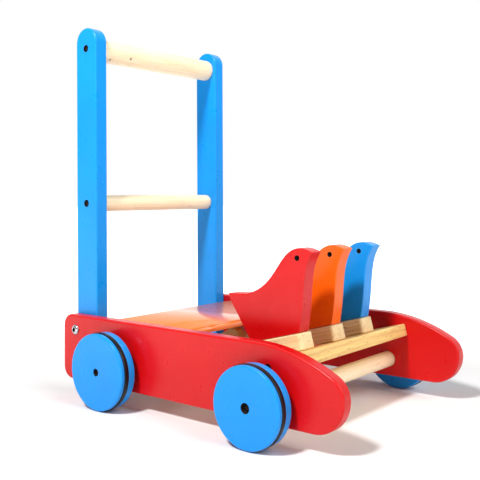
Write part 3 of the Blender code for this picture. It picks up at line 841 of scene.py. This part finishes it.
def rockers():
    """The arms, level with the sloping plank, and a bird standing on the front of each."""
    for seed, label in enumerate(BIRDS, WOOD_SEED["arm"]):
        at = JOINT_AT[label + "_bird_rock"]
        tilted = Matrix.Translation(at) @ Matrix.Rotation(-TILT, 4, "Y")
        node = "rocker_arm_" + label
        low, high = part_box(node)
        width = high.y - low.y
        outline = box_outline(ARM_TO_FRONT + ARM_TO_TAIL, ARM_THICKNESS)
        material = bare_wood(node + "_wood", "cream", at, GRAIN_ARM, seed)
        place = tilted @ Matrix.Translation(((ARM_TO_FRONT - ARM_TO_TAIL) / 2, 0.0, 0.0))
        arm = board(node + "_block", outline, width, material, place)
        round_front(arm, ARM_FRONT_RADIUS)
        steps = plain_steps(PIVOT_RADIUS + RUNNING_GAP, low.y - OVERCUT, high.y + OVERCUT)
        stand_for(finish_board(arm, ARM_EDGE, [hole(at.x, at.z, steps, material)]), node)

        node = "bird_" + label
        low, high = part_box(node)
        foot = Vector((ARM_TO_FRONT, 0.0, ARM_THICKNESS / 2 + GAP))
        material = paint(node + "_paint", label, middle(node), GRAIN_ARM)
        place = tilted @ Matrix.Translation(foot)
        bird = board(node + "_shape", bird_outline(), high.y - low.y, material, place)
        eye = place @ Vector((EYE_AHEAD, 0.0, EYE_HEIGHT))
        steps = plain_steps(EYE_RADIUS, low.y - OVERCUT, high.y + OVERCUT)
        stand_for(finish_board(bird, BIRD_EDGE, [hole(eye.x, eye.z, steps, HOLE_SHADE)]), node)


def cams():
    """Oblong paddles on the rear axle, a sixth of a turn apart."""
    straight = CAM_RADIUS - CAM_HALF_WIDTH
    outline = arc((straight, 0.0), CAM_HALF_WIDTH, -QUARTER, QUARTER, 24)
    outline += arc((-straight, 0.0), CAM_HALF_WIDTH, QUARTER, 3 * QUARTER, 24)
    at = JOINT_AT["rear_axle_roll"]
    for number, label in enumerate(BIRDS):
        node = "cam_" + label
        low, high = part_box(node)
        turn = CAM_STEP * number + CAM_FIRST_TURN
        place = Matrix.Translation((at.x, (low.y + high.y) / 2, at.z)) @ Matrix.Rotation(turn, 4, "Y")
        grain = (0.0, turn, 0.0)
        material = bare_wood(node + "_wood", "tan", at, grain, WOOD_SEED["cam"] + number)
        cam = board(node + "_paddle", outline, high.y - low.y, material, place)
        steps = plain_steps(AXLE_RADIUS + GAP, low.y - OVERCUT, high.y + OVERCUT)
        stand_for(finish_board(cam, CAM_EDGE, [hole(at.x, at.z, steps, material)]), node)


# ---------------------------------------------------------------- fasteners
def recessed_screw(node, sign, head_radius):
    """A black screw with a cross recess in its rounded head."""
    low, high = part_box(node)
    at = middle(node)
    face_y = high.y if sign > 0 else low.y
    length = high.y - low.y
    crown_share, crown_drop = SCREW_CROWN
    outline = [
        (0.0, 0.0),
        (head_radius * crown_share, crown_drop),
        (head_radius, SCREW_RIM_DROP),
        (head_radius, SCREW_HEAD_HEIGHT),
        (SCREW_SHANK_RADIUS, SCREW_HEAD_HEIGHT),
        (SCREW_SHANK_RADIUS, length - SCREW_POINT),
        (0.0, length),
    ]
    profile = from_face(softened(outline, SCREW_EDGE), sign, face_y)
    item = turned(node + "_screw", profile, BLACK_STEEL, SMALL, at.x, at.z)
    long, wide, deep = SCREW_CROSS
    cutters = []
    for size in ((long, wide), (wide, long)):
        place = Matrix.Translation((at.x, face_y, at.z))
        cutters.append(board("cutter", box_outline(*size), 2 * deep, SOCKET, place))
    cut(item, cutters)
    stand_for(settle(item, cutters), node)


def cap_bolt(node, sign):
    """A chrome button head bolt with a hexagon socket."""
    low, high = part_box(node)
    at = middle(node)
    face_y = high.y if sign > 0 else low.y
    length = high.y - low.y
    radius = (high.z - low.z) / 2
    h = BOLT_HEAD_HEIGHT
    angles = [QUARTER * i / BOLT_DOME_STEPS for i in range(BOLT_DOME_STEPS + 1)]
    dome = [(radius * math.sin(a), h * (1.0 - math.cos(a))) for a in angles]
    profile = dome + [(BOLT_SHANK_RADIUS, h), (BOLT_SHANK_RADIUS, length), (0.0, length)]
    item = turned(node + "_cap", from_face(profile, sign, face_y), CHROME, SMALL, at.x, at.z)
    start = BOLT_SOCKET_TURN
    hexagon = arc((0.0, 0.0), BOLT_SOCKET_RADIUS, start, start + 2 * math.pi, 6)[:-1]
    place = Matrix.Translation((at.x, face_y, at.z))
    # the socket's walls take the black screw steel: painted shade inside the chrome head
    cutters = [board("cutter", hexagon, 2 * BOLT_SOCKET_DEPTH, BLACK_STEEL, place)]
    cut(item, cutters)
    stand_for(settle(item, cutters), node)


def fasteners():
    """Bolts, screws in the posts and panels, and wheel screws."""
    for side, sign in SIDES:
        for level in ("low", "high"):
            cap_bolt("post_bolt_" + side + "_" + level, sign)
        for level in ("grip", "mid"):
            recessed_screw("handle_screw_" + side + "_" + level, sign, SCREW_HEAD_RADIUS)
        recessed_screw("plank_screw_" + side, sign, SCREW_HEAD_RADIUS)
        for end in ENDS:
            recessed_screw(end + "_wheel_screw_" + side, sign, WHEEL_SCREW_RADIUS)


# ---------------------------------------------------------------- studio
CAMERA_AT = Vector((0.5986, -0.7665, 0.2587))
CAMERA_TURN = math.radians(39.34)
CAMERA_ROLL = math.radians(-0.24)
CAMERA_LENS = 56.79
CAMERA_SENSOR = 36.0
CAMERA_SHIFT = -0.0913

KEY_AT = Vector((0.11, -1.35, 1.60))
KEY_AIM = Vector((0.0, 0.0, 0.12))
KEY_POWER = 40.0
KEY_SIZE = 0.30
FILL_FROM = Vector((0.76, 0.12, 0.64))
FILL_STRENGTH = 1.7
FILL_ANGLE = math.radians(40.0)
ROOM_LIGHT = 0.17
MIRRORED_LIGHT = 0.40  # what glossy surfaces mirror on the near side
MIRRORED_WALL = 1.25  # and on the far side, where a white wall stands
WALL_TOWARDS = (-0.63, 0.77, 0.0)
WALL_BLEND = (0.0, 0.6)  # where between sideways and straight ahead the wall begins and is full
FLOOR_SIZE = 30.0
FLOOR_FADE = (0.36, 0.90)  # how far from the truck the floor brightens into the white room
FLOOR_GLOW = 1.0


def camera():
    """The camera that fits the photo."""
    data = bpy.data.cameras.new("camera")
    data.lens = CAMERA_LENS
    data.sensor_width = CAMERA_SENSOR
    data.shift_y = CAMERA_SHIFT
    item = bpy.data.objects.new("camera", data)
    level = Matrix.Rotation(CAMERA_TURN, 4, "Z") @ Matrix.Rotation(QUARTER, 4, "X")
    item.matrix_world = Matrix.Translation(CAMERA_AT) @ level @ Matrix.Rotation(CAMERA_ROLL, 4, "Z")
    bpy.context.scene.collection.objects.link(item)
    bpy.context.scene.camera = item


def distant_light(name, come_from, strength, angle):
    """A light as far as the sun, `angle` wide, from the direction `come_from`."""
    data = bpy.data.lights.new(name, "SUN")
    data.energy = strength
    data.angle = angle
    item = bpy.data.objects.new(name, data)
    item.rotation_mode = "QUATERNION"
    item.rotation_quaternion = come_from.to_track_quat("Z", "Y")
    bpy.context.scene.collection.objects.link(item)


def lamp(name, place, aim, power, size):
    """A round soft light at `place`, turned towards `aim`."""
    data = bpy.data.lights.new(name, "AREA")
    data.shape = "DISK"
    data.energy = power
    data.size = size
    item = bpy.data.objects.new(name, data)
    item.location = place
    item.rotation_mode = "QUATERNION"
    item.rotation_quaternion = (place - aim).to_track_quat("Z", "Y")
    bpy.context.scene.collection.objects.link(item)


def studio():
    """A key lamp over the near side, a weaker light from ahead, and a pale floor in a white room."""
    lamp("key", KEY_AT, KEY_AIM, KEY_POWER, KEY_SIZE)
    distant_light("fill", FILL_FROM, FILL_STRENGTH, FILL_ANGLE)
    world = bpy.data.worlds.new("room")
    bpy.context.scene.world = world
    world.use_nodes = True
    tree = world.node_tree
    shader = tree.nodes["Background"]
    shader.inputs["Color"].default_value = (1.0, 1.0, 1.0, 1.0)
    path = add_node(tree, "ShaderNodeLightPath")
    way = add_node(tree, "ShaderNodeTexCoord").outputs["Generated"]
    toward = {0: way, 1: WALL_TOWARDS}
    toward = add_node(tree, "ShaderNodeVectorMath", toward, operation="DOT_PRODUCT").outputs["Value"]
    mirrored = rescale(tree, toward, *WALL_BLEND, MIRRORED_LIGHT, MIRRORED_WALL)
    mirrored = maths(tree, "MULTIPLY", mirrored, path.outputs["Is Glossy Ray"])
    strength = maths(tree, "MAXIMUM", path.outputs["Is Camera Ray"], mirrored)
    strength = maths(tree, "MAXIMUM", strength, ROOM_LIGHT)
    tree.links.new(strength, shader.inputs["Strength"])
    work = bmesh.new()
    bmesh.ops.create_grid(work, x_segments=1, y_segments=1, size=FLOOR_SIZE / 2)
    material, tree, shader = new_material("floor_paper")
    space = add_node(tree, "ShaderNodeTexCoord").outputs["Object"]
    clouds = noise(tree, space, 2.0, detail=4.0)
    colour = mix(tree, clouds, linear(244, 242, 240), linear(248, 247, 246))
    tree.links.new(colour, shader.inputs["Base Color"])
    shader.inputs["Roughness"].default_value = 0.85
    away = add_node(tree, "ShaderNodeVectorMath", {0: space}, operation="LENGTH").outputs["Value"]
    glow = rescale(tree, away, *FLOOR_FADE, 0.0, FLOOR_GLOW)
    tree.links.new(glow, shader.inputs["Emission Strength"])
    shader.inputs["Emission Color"].default_value = (1.0, 1.0, 1.0, 1.0)
    floor = mesh_object("floor", work, material)


camera()
studio()
panels()
posts()
deck()
plank()
dowels()
wheels()
rockers()
cams()
fasteners()
bpy.context.scene.view_settings.view_transform = "Standard"
